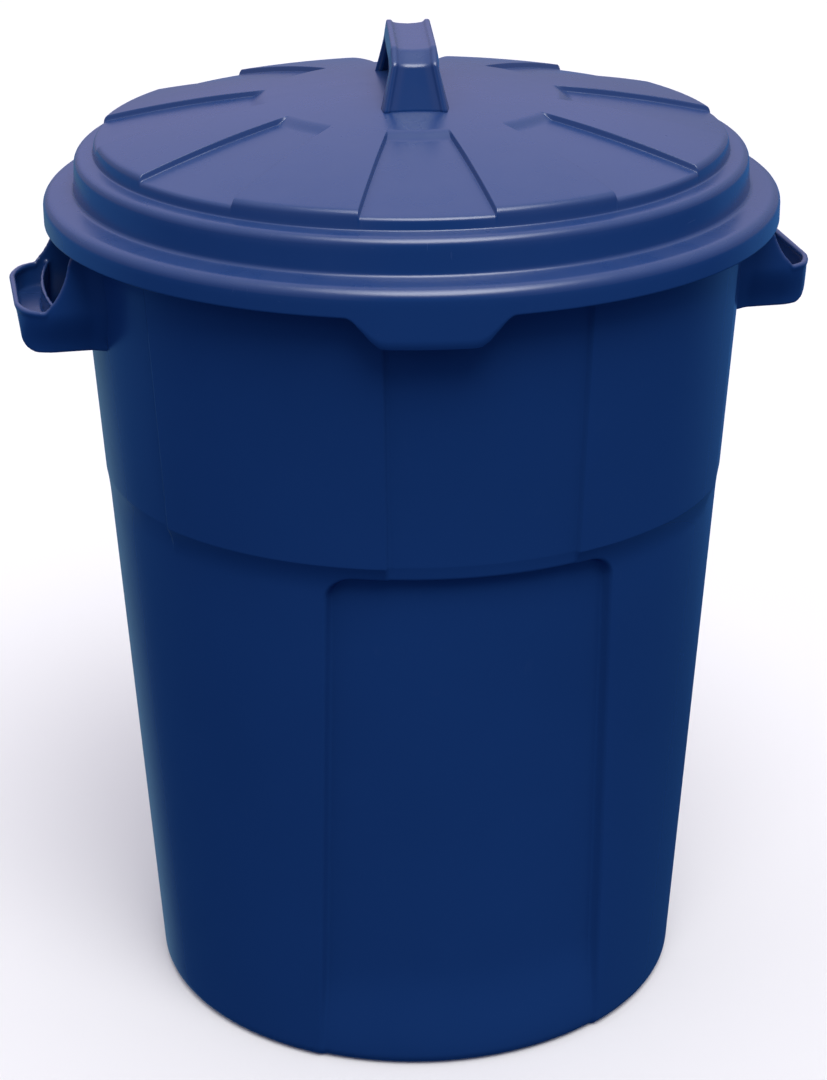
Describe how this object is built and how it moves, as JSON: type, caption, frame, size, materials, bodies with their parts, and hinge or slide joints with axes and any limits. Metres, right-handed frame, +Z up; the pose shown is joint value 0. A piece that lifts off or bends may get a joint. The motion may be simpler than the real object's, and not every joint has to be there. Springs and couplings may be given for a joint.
{
  "type": "wastebasket",
  "caption": "Round tapered refuse can with a stepped collar, a trough-shaped carrying handle on each side and a loose domed lid with radial channels, a strap handle and a pull tab.",
  "frame": {"origin": "centre of the foot ring, on the floor that the can stands on", "axes": "+Z up; the side handles lie along X; the front of the tub, with a tall recess, faces -Y"},
  "size_m": [0.636, 0.58, 0.8],
  "materials": {
    "tub_plastic": "moulded navy blue, satin with light scuffs",
    "lid_plastic": "moulded navy blue, satin with light scuffs"
  },
  "bodies": {
    "can": {"tub_shell": "tub_plastic", "left_side_handle": "tub_plastic", "right_side_handle": "tub_plastic"},
    "lid": {"lid_shell": "lid_plastic", "lid_strap_handle": "lid_plastic"}
  },
  "joints": [
    {"name": "lid_lift", "type": "slide", "parent": "can", "child": "lid", "axis": [0, 0, 1], "range_m": [0, 0.3]}
  ]
}
